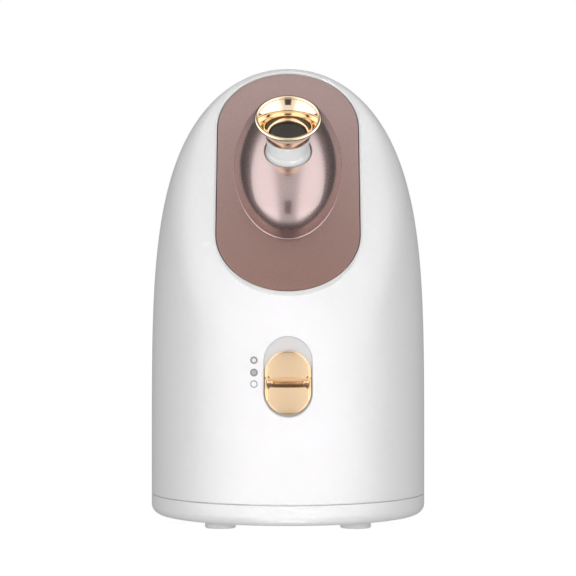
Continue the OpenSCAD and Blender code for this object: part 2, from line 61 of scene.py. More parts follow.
# Sloped face and its panel
FACE_POINT = np.array([0.0, -88.7, 121.0])
FACE_TILT = math.radians(33.0)
FACE_UP = np.array([0.0, math.sin(FACE_TILT), math.cos(FACE_TILT)])
FACE_OUT = np.array([0.0, -math.cos(FACE_TILT), math.sin(FACE_TILT)])
PANEL_HALF_W = 38.0
PANEL_END = 36.0
PANEL_LOW = 7.0
PANEL_LEN = 141.0
PANEL_DROP = 0.6
PANEL_BACK = 3.4
PANEL_GAP = 0.05
LIP_R = 0.9
LIP_GAP = 0.3

# Nozzle and dome; the nozzle axis leans forward
NOZZLE_LEAN = math.radians(45.0)
AXIS = np.array([0.0, -math.sin(NOZZLE_LEAN), math.cos(NOZZLE_LEAN)])
AXIS_UP = np.array([0.0, math.cos(NOZZLE_LEAN), math.sin(NOZZLE_LEAN)])
ACROSS = np.array([1.0, 0.0, 0.0])
UPRIGHT = np.array([0.0, 0.0, 1.0])
BALL = np.array([0.0, -57.9, 198.8])
BALL_R = 12.2
DOME = np.array([0.0, -32.1, 191.2])
DOME_R = 30.1
DOME_HALF = 51.0

# Switch
WELL_Z = 82.0
WELL_W = 25.4
WELL_H = 42.0
FLOOR_Y = -HALF_D + 4.4
FLOOR_THICK = 1.4
BUTTON_W = 24.6
BUTTON_H = 33.5
BUTTON_Z = 62.1 + BUTTON_H / 2
MARK_X = -17.7

# Tank, lid and the openings at the back
TANK_X = 36.5
TANK_Y = 14.0
TANK_LOW = 54.0
TANK_TOP = 206.0
TANK_WALL = 2.2
LID_LOW = 206.9
BAY_X = 37.2
BAY_Y = 13.4
BAY_LOW = 53.6
INLET_Z = 29.0
INLET_W = 23.3
INLET_H = 13.9

# Screws under the base
BOSS_X = 58.0
BOSS_Y = 22.0
BOSS_R = 5.0
BOSS_TOP = 12.4
HEAD_R = 3.6
HEAD_TOP = 9.0
SCREW_R = 1.8


# ---------------------------------------------------------------- material helpers
def new_material(name):
    """A node material, its tree and its shader."""
    material = bpy.data.materials.new(name)
    material.use_nodes = True
    tree = material.node_tree
    return material, tree, tree.nodes["Principled BSDF"]


def set_inputs(node, **values):
    """Sets sockets by name, with _ for a space."""
    for key, value in values.items():
        node.inputs[key.replace("_", " ")].default_value = value


def object_noise(tree, scale, detail=4.0, roughness=0.55, stretch=(1, 1, 1)):
    """Noise in the object's own space, scale in cycles per metre."""
    coords = tree.nodes.new("ShaderNodeTexCoord")
    mapping = tree.nodes.new("ShaderNodeMapping")
    mapping.inputs["Scale"].default_value = stretch
    noise = tree.nodes.new("ShaderNodeTexNoise")
    set_inputs(noise, Scale=scale, Detail=detail, Roughness=roughness)
    tree.links.new(coords.outputs["Object"], mapping.inputs["Vector"])
    tree.links.new(mapping.outputs["Vector"], noise.inputs["Vector"])
    return noise


def ramp(tree, source, low, high, start=0.35, end=0.65):
    """A grey or coloured ramp of a 0 to 1 signal."""
    node = tree.nodes.new("ShaderNodeValToRGB")
    node.color_ramp.elements[0].position = start
    node.color_ramp.elements[1].position = end
    node.color_ramp.elements[0].color = low
    node.color_ramp.elements[1].color = high
    tree.links.new(source, node.inputs["Fac"])
    return node.outputs["Color"]


def grey(v):
    return (v, v, v, 1.0)


def bump(tree, shader, source, strength, distance):
    node = tree.nodes.new("ShaderNodeBump")
    set_inputs(node, Strength=strength, Distance=distance)
    tree.links.new(source, node.inputs["Height"])
    tree.links.new(node.outputs["Normal"], shader.inputs["Normal"])


def tint(color, factor):
    """A colour made lighter or darker, with its alpha."""
    return tuple(min(1.0, c * factor) for c in color) + (1.0,)


DRIFT_SCALE = 14.0
COAT_ROUGH = 0.04


def finish_material(name, color, rough, metal=0.0, grain=900, depth=0.00002, coat=0.0, spread=0.03,
                    rough_spread=0.05, stretch=(1, 1, 1), strength=0.3, specular=0.5):
    """A moulded, painted or plated surface with slow colour drift, a fine grain and a drifting gloss."""
    material, tree, shader = new_material(name)
    set_inputs(shader, Metallic=metal)
    shader.inputs["Specular IOR Level"].default_value = specular
    if coat:
        shader.inputs["Coat Weight"].default_value = coat
        shader.inputs["Coat Roughness"].default_value = COAT_ROUGH
    drift = object_noise(tree, DRIFT_SCALE, 3.0)
    shades = ramp(tree, drift.outputs["Fac"], tint(color, 1 - spread), tint(color, 1 + spread))
    tree.links.new(shades, shader.inputs["Base Color"])
    fine = object_noise(tree, grain, 3.0, 0.6, stretch)
    smooth, dull = max(0.0, rough - rough_spread), rough + rough_spread
    tree.links.new(ramp(tree, fine.outputs["Fac"], grey(smooth), grey(dull)), shader.inputs["Roughness"])
    bump(tree, shader, fine.outputs["Fac"], strength, depth)
    return material


def paint_shade_by_height(material, low, high, shade_tint):
    """Multiplies a finish by painted shade that darkens it towards its lower end; low and high are heights in
    metres.
    """
    tree = material.node_tree
    shader = tree.nodes["Principled BSDF"]
    color = shader.inputs["Base Color"].links[0].from_socket
    coords = tree.nodes.new("ShaderNodeTexCoord")
    split = tree.nodes.new("ShaderNodeSeparateXYZ")
    height = tree.nodes.new("ShaderNodeMapRange")
    set_inputs(height, From_Min=low, From_Max=high)
    mix = tree.nodes.new("ShaderNodeMix")
    mix.data_type = "RGBA"
    mix.blend_type = "MULTIPLY"
    mix.inputs[0].default_value = 1.0
    tree.links.new(coords.outputs["Object"], split.inputs["Vector"])
    tree.links.new(split.outputs["Z"], height.inputs["Value"])
    tree.links.new(color, mix.inputs[6])
    tree.links.new(ramp(tree, height.outputs["Result"], shade_tint, grey(1.0), 0.0, 1.0), mix.inputs[7])
    tree.links.new(mix.outputs[2], shader.inputs["Base Color"])


MATERIALS = {}


def build_materials():
    m = MATERIALS
    m["shell"] = finish_material("shell_white_plastic", (0.86, 0.86, 0.865), 0.4, grain=1500, spread=0.006,
                                 strength=0.12, specular=1.0)
    m["champagne"] = finish_material("champagne_lacquer", (0.44, 0.315, 0.30), 0.32, metal=0.85, grain=2600,
                                     spread=0.03, strength=0.1)
    # Painted shade: the panel plate's colour darkens from its top to its bottom, standing in for the light
    # falling off lower down.
    paint_shade_by_height(m["champagne"], 0.132, 0.238, (0.72, 0.61, 0.55, 1.0))
    m["dome"] = finish_material("champagne_lacquer_dome", (0.44, 0.32, 0.31), 0.3, metal=0.95, grain=2600,
                                coat=0.8, spread=0.02, strength=0.1)
    m["dome"].node_tree.nodes["Principled BSDF"].inputs["Coat IOR"].default_value = 2.0
    m["ball"] = finish_material("ball_white_plastic", (0.82, 0.835, 0.84), 0.32, grain=1500, spread=0.006)
    m["gold"] = finish_material("polished_gold_plate", (0.95, 0.77, 0.56), 0.06, metal=1.0, grain=700,
                                rough_spread=0.02, spread=0.02, strength=0.04)
    m["button"] = finish_material("satin_gold_paint", (0.93, 0.68, 0.44), 0.2, metal=1.0, grain=2200,
                                  rough_spread=0.04, spread=0.015, strength=0.06)
    m["insert"] = finish_material("grey_insert_plastic", (0.66, 0.66, 0.665), 0.5, grain=1800)
    m["mark"] = finish_material("grey_printed_ink", (0.28, 0.28, 0.29), 0.6, grain=4000)
    m["black"] = finish_material("black_plastic", (0.022, 0.021, 0.021), 0.45, grain=1800, strength=0.4)
    m["grey"] = finish_material("natural_grey_plastic", (0.50, 0.51, 0.52), 0.5, grain=1400)
    m["rubber"] = finish_material("foot_rubber", (0.66, 0.66, 0.67), 0.75, grain=2400, depth=0.00005,
                                  strength=0.6)
    m["pale_seal"] = finish_material("pale_silicone", (0.62, 0.63, 0.64), 0.5, grain=1500)
    m["silicone"] = finish_material("red_silicone", (0.55, 0.12, 0.06), 0.45, grain=1500)
    m["steel"] = finish_material("bright_steel", (0.62, 0.62, 0.63), 0.25, metal=1.0, grain=1500,
                                 stretch=(1, 1, 12))
    m["aluminium"] = finish_material("cast_aluminium", (0.68, 0.68, 0.70), 0.42, metal=1.0, grain=1200,
                                     depth=0.00006, strength=0.6)
    m["ceramic"] = finish_material("unglazed_ceramic", (0.74, 0.66, 0.53), 0.8, grain=1600, strength=0.5)
    m["board"] = finish_material("solder_mask", (0.02, 0.16, 0.06), 0.35, grain=600, spread=0.2)
    m["component"] = finish_material("component_sleeve", (0.05, 0.06, 0.12), 0.4, grain=900)
    m["lead"] = finish_material("lead_insulation", (0.03, 0.03, 0.032), 0.5, grain=1500)
    m["clear"] = clear_plastic()


def clear_plastic():
    """See-through smoky plastic for the tank."""
    material = finish_material("smoke_clear_plastic", (0.74, 0.77, 0.80), 0.1, grain=1200, spread=0.01,
                               strength=0.05)
    shader = material.node_tree.nodes["Principled BSDF"]
    shader.inputs["Alpha"].default_value = 0.42
    shader.inputs["IOR"].default_value = 1.35
    return material


# ---------------------------------------------------------------- mesh helpers
def make_piece(name, points, faces, material, body, replaced=(), sharp=35.0):
    """A mesh piece from points in millimetres; it rides a body and stands for CAD nodes."""
    mesh = bpy.data.meshes.new(name)
    mesh.from_pydata([tuple(p * MM) for p in np.asarray(points, float)], [], faces)
    mesh.validate()
    piece = bpy.data.objects.new(name, mesh)
    bpy.context.scene.collection.objects.link(piece)
    fix_normals(mesh)
    shade(mesh, sharp)
    mesh.materials.append(MATERIALS[material])
    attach(piece, body)
    if replaced:
        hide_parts(*replaced)
    return piece


def fix_normals(mesh):
    """Joins points that coincide and turns every face outwards."""
    work = bmesh.new()
    work.from_mesh(mesh)
    bmesh.ops.remove_doubles(work, verts=work.verts, dist=1e-7)
    bmesh.ops.recalc_face_normals(work, faces=work.faces)
    work.to_mesh(mesh)
    work.free()


def shade(mesh, angle):
    """Smooth shading with sharp edges above an angle in degrees."""
    mesh.polygons.foreach_set("use_smooth", [True] * len(mesh.polygons))
    mesh.set_sharp_from_angle(angle=math.radians(angle))
    mesh.update()


def join_rings(rings, wrap=False, cap_first=False, cap_last=False):
    """Quads between closed rings of equal length. Returns points and faces."""
    count = len(rings[0])
    points = np.concatenate(rings)
    faces = []
    pairs = [(k, k + 1) for k in range(len(rings) - 1)]
    if wrap:
        pairs.append((len(rings) - 1, 0))
    for a, b in pairs:
        for i in range(count):
            j = (i + 1) % count
            faces.append((a * count + i, a * count + j, b * count + j, b * count + i))
    if cap_first:
        faces.append(tuple(range(count)))
    if cap_last:
        start = (len(rings) - 1) * count
        faces.append(tuple(range(start + count - 1, start - 1, -1)))
    return points, faces


def lathe(profile, origin, axis, side, count=128, plan=(1.0, 1.0)):
    """Revolves (radius, height) pairs about an axis; plan stretches the two cross directions."""
    other = np.cross(axis, side)
    angles = np.linspace(0, 2 * math.pi, count, endpoint=False)
    rings = []
    for r, h in profile:
        ring = [origin + axis * h + side * (r * math.cos(a) * plan[0]) + other * (r * math.sin(a) * plan[1])
                for a in angles]
        rings.append(np.array(ring))
    return join_rings(rings, wrap=True)


def arc(center, radius, start, end, steps):
    """Points on an arc in the (radius, height) plane, angles in degrees."""
    return [(center[0] + radius * math.cos(math.radians(a)), center[1] + radius * math.sin(math.radians(a)))
            for a in np.linspace(start, end, steps)]


# ---------------------------------------------------------------- the body's surface
def rise(z):
    """Height above the seam as a share of the body's height."""
    return np.clip((z - SEAM_Z) / (TOP_Z - SEAM_Z), 0, None)


def body_distance(p):
    """About how far points lie outside the closed body, before the face is cut."""
    t = rise(p[:, 2])
    value = (p[:, 0] / HALF_W) ** 2 + (p[:, 1] / HALF_D) ** 2 + t ** DOME_POWER - 1
    slope = np.stack([2 * p[:, 0] / HALF_W ** 2, 2 * p[:, 1] / HALF_D ** 2,
                      DOME_POWER * t ** (DOME_POWER - 1) / (TOP_Z - SEAM_Z)], axis=1)
    return value / np.maximum(np.linalg.norm(slope, axis=1), 1e-4)


def soft_max(a, b, k):
    """The larger of two distances, with the crease rounded over a width k."""
    h = np.maximum(k - np.abs(a - b), 0) / k
    return np.maximum(a, b) + h * h * k / 4


CREASE_TOP = 238.0
CREASE_SPAN = 45.0
CREASE_SMALL = 3.0
CREASE_LARGE = 22.0


def face_distance(p):
    """The body cut by the flat face; the crease between them is rounder lower down."""
    plane = (p - FACE_POINT) @ FACE_OUT
    down = np.clip((CREASE_TOP - p[:, 2]) / CREASE_SPAN, 0, 1)
    crease = CREASE_SMALL + (CREASE_LARGE - CREASE_SMALL) * down * down * (3 - 2 * down)
    return soft_max(body_distance(p), plane, crease)


def cast(distance, center, directions):
    """Where rays from a centre inside meet a surface."""
    low = np.zeros(len(directions))
    high = np.full(len(directions), 300.0)
    for _ in range(44):
        middle = (low + high) / 2
        inside = distance(center + directions * middle[:, None]) < 0
        low = np.where(inside, middle, low)
        high = np.where(inside, high, middle)
    return center + directions * low[:, None]


def outward(distance, p):
    """The surface's outward direction at points."""
    step = 0.05
    slope = np.stack([distance(p + step * axis) - distance(p - step * axis) for axis in np.eye(3)], axis=1)
    return slope / np.linalg.norm(slope, axis=1)[:, None]


def unit(v):
    return v / np.linalg.norm(v, axis=-1, keepdims=True)


def surface_y(x, z, side):
    """The body's y at (x, z), on its front (-1) or rear (1)."""
    inside = np.maximum(1 - rise(z) ** DOME_POWER - (x / HALF_W) ** 2, 0)
    return side * HALF_D * np.sqrt(inside)


def resample(points, fractions):
    """Points at the given fractions of an open polyline's length."""
    lengths = np.concatenate([[0], np.cumsum(np.linalg.norm(np.diff(points, axis=0), axis=1))])
    at = np.asarray(fractions) * lengths[-1]
    return np.stack([np.interp(at, lengths, points[:, k]) for k in range(3)], axis=1)


# ---------------------------------------------------------------- shells
SHELL_LOW = SEAM_Z + SEAM_GAP
SHELL_CENTER_Z = 110.0
# Points in a shell loop, and the share of them along the lower edge
LOOP = 240
CORNER = 0.27


def bottom_edge(side):
    """The shell's lower edge on the right, from the middle of one side (-1 front, 1 rear) to the split."""
    count = 120
    angles = np.linspace(math.pi / 2, side * math.asin(SPLIT_Y / HALF_D), count)
    x, y = HALF_W * np.cos(angles), side * HALF_D * np.sin(angles)
    return np.stack([x, y, np.full(count, SHELL_LOW)], axis=1)


def split_arch(y):
    """The split between the shells on the right, from the lower edge up to the top."""
    count = 300
    t_top = (1 - (y / HALF_D) ** 2) ** (1 / DOME_POWER)
    t = np.sin(np.linspace(0, math.pi / 2, count)) * t_top
    t[0] = rise(SHELL_LOW)
    x = HALF_W * np.sqrt(np.maximum(1 - t ** DOME_POWER - (y / HALF_D) ** 2, 0))
    return np.stack([x, np.full(count, y), SEAM_Z + t * (TOP_Z - SEAM_Z)], axis=1)


def shell_edge(side):
    """The loop round a shell's outer edge: along the bottom, then up the split."""
    fractions = np.linspace(0, 1, LOOP // 2 + 1)
    low = resample(bottom_edge(side), np.clip(fractions / CORNER, 0, 1))
    split = split_arch(SPLIT_Y + side * SPLIT_GAP / 2)
    arch = resample(split, np.clip((fractions - CORNER) / (1 - CORNER), 0, 1))
    return mirrored_loop(np.where((fractions < CORNER)[:, None], low, arch))


def mirrored_loop(right_half):
    """A closed loop from its right half, which runs from bottom middle to top middle."""
    left = right_half[-2:0:-1] * np.array([-1, 1, 1])
    return np.concatenate([right_half, left])


def panel_outline(grow):
    """The face panel's outline on the face plane, from bottom middle anticlockwise seen from the front."""
    angles = np.linspace(-math.pi / 2, math.pi / 2, LOOP // 2 + 1)
    low, high = PANEL_LOW + PANEL_END, PANEL_LOW + PANEL_LEN - PANEL_END
    x = (PANEL_HALF_W + grow) * np.cos(angles)
    y = (PANEL_END + grow) * np.sin(angles) + np.where(angles > 0, high, low)
    fine = FACE_POINT + x[:, None] * ACROSS + y[:, None] * FACE_UP
    straight = np.linspace(low, high, 40)[1:-1]
    split = np.searchsorted(angles, 1e-9)
    side = FACE_POINT + (PANEL_HALF_W + grow) * ACROSS + straight[:, None] * FACE_UP
    return mirrored_loop(resample(np.concatenate([fine[:split], side, fine[split:]]),
                                  np.linspace(0, 1, LOOP // 2 + 1)))


def shell_rings(inner, outer, distance, center, count):
    """Rings on the surface from one loop to another."""
    rings = []
    for t in np.linspace(0, 1, count):
        ray = unit((1 - t) * (inner - center) + t * (outer - center))
        rings.append(cast(distance, center, ray))
    return rings


def shell_solid(inner, outer, lip, distance, center, count):
    """A closed shell between two loops: outside, edge, inside and lip."""
    outside = shell_rings(inner, outer, distance, center, count)
    normals = [outward(distance, ring) for ring in outside]
    edge = 0.35
    toward = [unit(outside[-2] - outside[-1]), unit(outside[1] - outside[0])]
    rounded = [outside[-1] + toward[0] * edge * s - normals[-1] * edge * d
               for s, d in ((1, 0), (0.3, 0.3), (0, 1))]
    inside = [ring - normal * WALL for ring, normal in zip(outside[::-4], normals[::-4])]
    if lip is None:
        lip = [outside[0] - normals[0] * edge, outside[0] + toward[1] * edge * 0.3 - normals[0] * edge * 0.3,
               outside[0] + toward[1] * edge]
    rings = lip + outside[1:-1] + rounded + inside
    return join_rings(rings, wrap=True)


def front_lip():
    """The rounded lip round the panel, from deep inside up to the face."""
    rings = [panel_outline(LIP_GAP) - FACE_OUT * depth for depth in (WALL + 0.6, LIP_R)]
    for turn in np.radians(np.linspace(15, 90, 6)):
        out = panel_outline(LIP_GAP + LIP_R * (1 - math.cos(turn)))
        rings.append(out - FACE_OUT * LIP_R * (1 - math.sin(turn)))
    return rings


def build_front_shell():
    center = np.array([0.0, 0.0, SHELL_CENTER_Z])
    inner = panel_outline(LIP_GAP + LIP_R + 0.4)
    points, faces = shell_solid(inner, shell_edge(-1), front_lip(), face_distance, center, 110)
    shell = make_piece("front_shell_skin", points, faces, "shell", "root", ["front_shell"])
    cut_switch_hole(shell)


def build_rear_shell():
    center = np.array([0.0, 10.0, SHELL_CENTER_Z])
    inner = mirrored_loop(resample(bay_edge(), np.linspace(0, 1, LOOP // 2 + 1)))
    points, faces = shell_solid(inner, shell_edge(1), None, body_distance, center, 60)
    shell = make_piece("rear_shell_skin", points, faces, "shell", "root", ["rear_shell"])
    cut_inlet_hole(shell)


def obround(width, height, count):
    """(x, z) points of an upright obround round the origin."""
    r, reach = width / 2, (height - width) / 2
    angles = np.linspace(0, 2 * math.pi, 20000, endpoint=False)
    x = r * np.cos(angles)
    z = r * np.sin(angles) + np.where(np.sin(angles) >= 0, reach, -reach)
    loop = np.stack([x, np.zeros_like(x), z], axis=1)
    return resample(np.concatenate([loop, loop[:1]]), np.linspace(0, 1, count, endpoint=False))[:, [0, 2]]


def cut_switch_hole(shell):
    def loop(grow):
        return obround(WELL_W + 2 * grow, WELL_H + 2 * grow, 96)
    cut_hole(shell, loop, WELL_Z, -1, 1.1)


def cut_inlet_hole(shell):
    def loop(grow):
        return rounded_box(INLET_W + 2 * grow, INLET_H + 2 * grow, 2.0 + grow, 96)
    cut_hole(shell, loop, INLET_Z, 1, 0.6)


def rounded_box(width, height, radius, count):
    """(x, z) points of a rounded rectangle round the origin."""
    corners = []
    for k, (sx, sz) in enumerate(((1, 1), (-1, 1), (-1, -1), (1, -1))):
        for turn in np.radians(np.linspace(90 * k, 90 * k + 90, 40)):
            corners.append((sx * (width / 2 - radius) + radius * math.cos(turn), 0.0,
                            sz * (height / 2 - radius) + radius * math.sin(turn)))
    loop = np.array(corners + corners[:1])
    return resample(loop, np.linspace(0, 1, count, endpoint=False))[:, [0, 2]]


def upright(loop, y, z0):
    """An (x, z) loop at a depth y and a height z0."""
    return np.stack([loop[:, 0], np.broadcast_to(y, len(loop)), z0 + loop[:, 1]], axis=1)


def cut_hole(shell, outline, z0, side, lip):
    """Cuts an opening with a cutter that flares at the surface, which rounds the lip."""
    inward, outward_reach = 12.0, 4.0
    levels = [(0, inward)]
    levels += [(lip * (1 - math.cos(turn)), lip * (1 - math.sin(turn)))
               for turn in np.radians(np.linspace(0, 90, 8))]
    levels.append((lip * 1.02, -outward_reach))
    rings = []
    for grow, depth in levels:
        loop = outline(grow)
        rings.append(upright(loop, surface_y(loop[:, 0], z0, side) - side * depth, z0))
    points, faces = join_rings(rings, cap_first=True, cap_last=True)
    carve(shell, points, faces, "DIFFERENCE")
    shade(shell.data, CUT_SHARP)


CUT_SHARP = 32


def carve(piece, points, faces, operation):
    """Cuts a closed solid out of a piece, or adds it."""
    mesh = bpy.data.meshes.new("cutter")
    mesh.from_pydata([tuple(p * MM) for p in points], [], faces)
    fix_normals(mesh)
    cutter = bpy.data.objects.new("cutter", mesh)
    bpy.context.scene.collection.objects.link(cutter)
    modifier = piece.modifiers.new("cut", "BOOLEAN")
    modifier.operation = operation
    modifier.solver = "EXACT"
    modifier.object = cutter
    graph = bpy.context.evaluated_depsgraph_get()
    result = bpy.data.meshes.new_from_object(piece.evaluated_get(graph))
    piece.modifiers.clear()
    piece.data = result
    bpy.data.objects.remove(cutter)


def bay_edge():
    """The right half of the tank opening's edge, from bottom middle to top middle."""
    x = np.linspace(0, BAY_X, 60)
    low = np.stack([x, surface_y(x, np.full(60, BAY_LOW), 1), np.full(60, BAY_LOW)], axis=1)
    t_end = (1 - (BAY_X / HALF_W) ** 2 - (BAY_Y / HALF_D) ** 2) ** (1 / DOME_POWER)
    z = np.linspace(BAY_LOW, SEAM_Z + t_end * (TOP_Z - SEAM_Z), 200)[1:]
    side = np.stack([np.full(199, BAY_X), surface_y(np.full(199, BAY_X), z, 1), z], axis=1)
    x = np.linspace(BAY_X, 0, 60)[1:]
    t = (1 - (x / HALF_W) ** 2 - (BAY_Y / HALF_D) ** 2) ** (1 / DOME_POWER)
    top = np.stack([x, np.full(59, BAY_Y), SEAM_Z + t * (TOP_Z - SEAM_Z)], axis=1)
    return np.concatenate([low, side, top])


def build_base():
    """The base tray: a rounded lower edge, a lip above the seam and a sunk hole for each screw."""
    r = HALF_W
    inner = r - WALL - 0.2
    lip = inner + 1.1
    floor_top = FOOT_H + 2.6
    edge, bottom_edge_r = 0.45, 5.5
    profile = [(0.02, floor_top), (r - 9, floor_top), (r - 4, 9.0), (inner, 12.0), (inner, SEAM_Z + 2.6),
               (lip, SEAM_Z + 2.6), (lip, SEAM_Z - 0.8), (r - 2 * edge, SEAM_Z - 0.6)]
    profile += arc((r - edge, SEAM_Z - edge), edge, 90, 0, 4)
    profile += arc((r - bottom_edge_r, FOOT_H + bottom_edge_r), bottom_edge_r, 0, -90, 14)
    profile += [(r - 20, FOOT_H), (0.02, FOOT_H)]
    points, faces = lathe(profile, np.zeros(3), UPRIGHT, ACROSS, 256, plan=(1.0, HALF_D / HALF_W))
    base = make_piece("base_tray_skin", points, faces, "shell", "root", ["base_tray"])
    for side in (-1, 1):
        for end in (-1, 1):
            place = np.array([side * BOSS_X, end * BOSS_Y, 0.0])
            carve(base, *cylinder(place, BOSS_R, 5.0, BOSS_TOP), "UNION")
            carve(base, *cylinder(place, HEAD_R, -1.0, HEAD_TOP), "DIFFERENCE")
            carve(base, *cylinder(place, SCREW_R, HEAD_TOP - 1, BOSS_TOP + 1.6), "DIFFERENCE")
    shade(base.data, CUT_SHARP)


def cylinder(place, radius, low, high):
    """An upright cylinder's points and faces."""
    return lathe([(0.01, low), (radius, low), (radius, high), (0.01, high)], place, UPRIGHT, ACROSS, 48)


def build_feet():
    """A round pad with a ring-shaped sole at each foot of the CAD."""
    for node in ("foot_front_left", "foot_front_right", "foot_rear_left", "foot_rear_right"):
        low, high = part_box(node)
        middle = np.array([(low.x + high.x) / 2, (low.y + high.y) / 2, 0]) / MM
        r = (high.x - low.x) / 2 / MM
        edge, top = 0.9, FOOT_H + 0.02
        profile = [(0.02, 0.5), (r - 4.2, 0.5), (r - 3.6, 0.0)] + arc((r - edge, edge), edge, -90, 0, 5)
        profile += [(r, 3.4), (r - 0.3, top), (0.02, top)]
        points, faces = lathe(profile, middle, UPRIGHT, ACROSS, 64)
        make_piece(node + "_pad", points, faces, "rubber", "root", [node])


# ---------------------------------------------------------------- face
def build_panel():
    """The face plate with its rounded edge."""
    rings = [panel_outline(grow) - FACE_OUT * PANEL_BACK for grow in (-1.2, -PANEL_GAP)]
    radius = 0.5
    for turn in np.radians(np.linspace(0, 90, 6)):
        rings.append(panel_outline(-PANEL_GAP - radius * (1 - math.cos(turn)))
                     - FACE_OUT * (PANEL_DROP + radius * (1 - math.sin(turn))))
    middle = FACE_POINT + FACE_UP * (PANEL_LOW + PANEL_LEN / 2) - FACE_OUT * PANEL_DROP
    last = rings[-1]
    for t in (0.1, 0.25, 0.5, 0.75, 0.99):
        rings.append(last + (middle - last) * t)
    points, faces = join_rings(rings, cap_first=True, cap_last=True)
    make_piece("front_panel_plate", points, faces, "champagne", "root", ["front_panel"])


def dome_distance(p):
    """About how far points lie outside the egg."""
    q = p - DOME
    along = q @ AXIS_UP
    across = np.linalg.norm(q - along[:, None] * AXIS_UP, axis=1)
    value = np.sqrt((across / DOME_R) ** 2 + (along / DOME_HALF) ** 2)
    return (value - 1) * DOME_R


def bore_radius(h):
    """The hole over the ball: a plain bore above, and round the ball below."""
    seat = BALL_R + 0.28
    return np.maximum(BALL_R - 0.2, np.sqrt(np.maximum(seat ** 2 - h ** 2, 0)))


def build_dome():
    """The egg between its base on the panel and the rounded edge of the ball's hole."""
    count = 192
    angles = np.linspace(0, 2 * math.pi, count, endpoint=False)
    circle = np.cos(angles)[:, None] * ACROSS + np.sin(angles)[:, None] * AXIS_UP
    lip = 0.5
    bore = np.full(count, BALL_R)
    for _ in range(3):
        hole = along_axis_to(dome_distance, BALL + AXIS * 4.0 + circle * (bore + lip)[:, None])
        top = (hole - BALL) @ AXIS
        bore = bore_radius(top - lip)
    rings = []
    for below in (4.0, 2.5, 1.2, 0.5):
        h = top - lip - below
        rings.append(BALL + AXIS * h[:, None] + circle * bore_radius(h)[:, None])
    for turn in np.radians(np.linspace(0, 75, 5)):
        rings.append(BALL + AXIS * (top - lip * (1 - math.sin(turn)))[:, None]
                     + circle * (bore + lip * (1 - math.cos(turn)))[:, None])
    base = panel_section(dome_distance, count)
    rings += shell_rings(hole, base, dome_distance, DOME - AXIS * 12, 90)
    end = rings[-1]
    away = unit(end - end.mean(axis=0))
    foot = end - FACE_OUT * 0.5
    rings[-1:] = [end + FACE_OUT * 0.35, end + away * 0.3, foot + away * 0.3, foot - away * 2.0]
    points, faces = join_rings(rings, wrap=False)
    make_piece("nozzle_dome_skin", points, faces, "dome", "root", ["nozzle_dome"])


def along_axis_to(distance, p):
    """Moves points along the nozzle axis onto a surface."""
    low, high = np.full(len(p), -15.0), np.full(len(p), 15.0)
    for _ in range(40):
        middle = (low + high) / 2
        inside = distance(p + AXIS * middle[:, None]) < 0
        low, high = np.where(inside, middle, low), np.where(inside, high, middle)
    return p + AXIS * low[:, None]


def panel_section(distance, count):
    """The outline that a surface cuts out of the panel's front."""
    seat = (FACE_POINT - FACE_OUT * PANEL_DROP - BALL) @ FACE_OUT
    middle = BALL + FACE_OUT * seat - FACE_UP * 4
    angles = np.linspace(0, 2 * math.pi, count, endpoint=False)
    rays = np.cos(angles)[:, None] * ACROSS + np.sin(angles)[:, None] * FACE_UP
    return cast(distance, middle, rays)


# ---------------------------------------------------------------- nozzle
NECK_R = 11.2
NECK_TOP = 14.0
SOCKET_R = 10.9
BALL_LOW = -8.0
BORE_R = 8.0
CUP_FLOOR = 12.0
THROAT_R = 10.1
CUP_TOP = 26.3
CUP_R = 17.7
CUP_BASE_R = 12.0
CUP_WALL = 0.8
RIM_R = 1.1


def cup_flare(s):
    """The cup's outer radius at a share s of its flare."""
    return CUP_BASE_R + (CUP_R - CUP_BASE_R) * (0.35 * s + 0.65 * s ** 2.6)


def build_nozzle():
    """The ball with its neck, the flared cup whose spigot sits in the neck, and the outlet disc."""
    seat = CUP_FLOOR - 1
    low = math.degrees(math.asin(BALL_LOW / BALL_R))
    high = math.degrees(math.acos(NECK_R / BALL_R))
    ball = [(BORE_R, seat), (BORE_R, BALL_LOW)] + arc((0, 0), BALL_R, low, high, 48)
    ball += [(NECK_R, 6.0), (NECK_R, 10.0), (NECK_R, NECK_TOP - 0.2), (NECK_R - 0.15, NECK_TOP),
             (SOCKET_R + 0.02, NECK_TOP), (SOCKET_R + 0.02, seat)]
    points, faces = lathe(ball, BALL, AXIS, ACROSS)
    make_piece("nozzle_ball_skin", points, faces, "ball", "nozzle", ["nozzle_ball"], sharp=50)

    flare_h = CUP_TOP - RIM_R - NECK_TOP
    steps = np.linspace(0, 1, 30)
    cup = [(BORE_R, seat), (SOCKET_R, seat), (SOCKET_R, NECK_TOP + 0.03), (CUP_BASE_R - 0.2, NECK_TOP + 0.03)]
    cup += [(cup_flare(s), NECK_TOP + 0.2 + (flare_h - 0.2) * s) for s in steps[:-1]]
    cup += arc((CUP_R - RIM_R, CUP_TOP - RIM_R), RIM_R, 0, 180, 18)
    cup += [(cup_flare(s) - CUP_WALL - 0.35 * (1 - s), NECK_TOP + flare_h * s) for s in steps[-3:3:-1]]
    cup += arc((THROAT_R + 0.9, NECK_TOP + 0.2), 0.9, 90, 180, 6)
    cup += [(THROAT_R, CUP_FLOOR), (BORE_R, CUP_FLOOR)]
    points, faces = lathe(cup, BALL, AXIS, ACROSS, 192)
    make_piece("nozzle_cup_skin", points, faces, "gold", "nozzle", ["nozzle_cup"], sharp=50)

    r = THROAT_R - 0.08
    floor = CUP_FLOOR + 0.02
    plug = [(0.02, floor - 5), (BORE_R - 0.2, floor - 5), (BORE_R - 0.2, floor), (r, floor), (r, floor + 0.7),
            (r - 0.3, floor + 1), (r - 1.4, floor + 1), (r - 2, floor + 0.6), (0.02, floor + 0.6)]
    points, faces = lathe(plug, BALL, AXIS, ACROSS, 96)
    make_piece("outlet_insert_disc", points, faces, "black", "nozzle", ["outlet_insert"])


